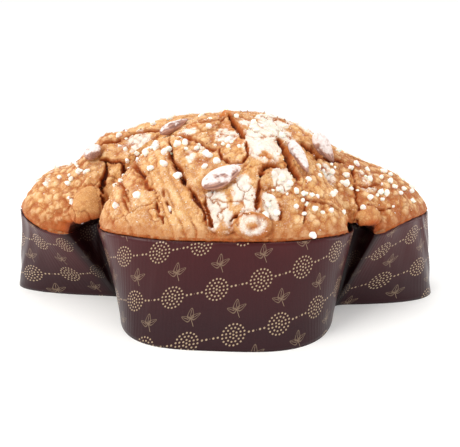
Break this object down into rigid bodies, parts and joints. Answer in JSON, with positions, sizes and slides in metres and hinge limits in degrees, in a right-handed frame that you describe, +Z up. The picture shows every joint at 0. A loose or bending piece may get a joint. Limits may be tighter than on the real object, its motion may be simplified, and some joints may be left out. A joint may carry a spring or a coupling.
{
  "type": "colomba cake",
  "caption": "Dove-shaped Easter cake with a domed, cracked almond-glaze crust, whole almonds and sugar nibs, in a lobed dark paper case.",
  "frame": {"origin": "underside of the paper case, where the line from head to tail crosses the line from wing to wing", "axes": "+X towards the tail, -Y towards the near wing, +Z up"},
  "size_m": [0.303, 0.213, 0.1291],
  "materials": {
    "printed_paper": "satin, dark brown with a pale printed ornament",
    "glazed_crust": "matte baked glaze with powdered sugar and white sugar nibs",
    "almond_skin": "matte toasted skin, dusted with sugar"
  },
  "bodies": {
    "root": {"paper_case": "printed_paper", "cake": "glazed_crust", "almond_1": "almond_skin", "almond_2": "almond_skin", "almond_3": "almond_skin", "almond_4": "almond_skin", "almond_5": "almond_skin", "almond_6": "almond_skin", "almond_7": "almond_skin", "almond_8": "almond_skin", "almond_9": "almond_skin", "almond_10": "almond_skin", "almond_11": "almond_skin", "almond_12": "almond_skin"}
  },
  "joints": []
}
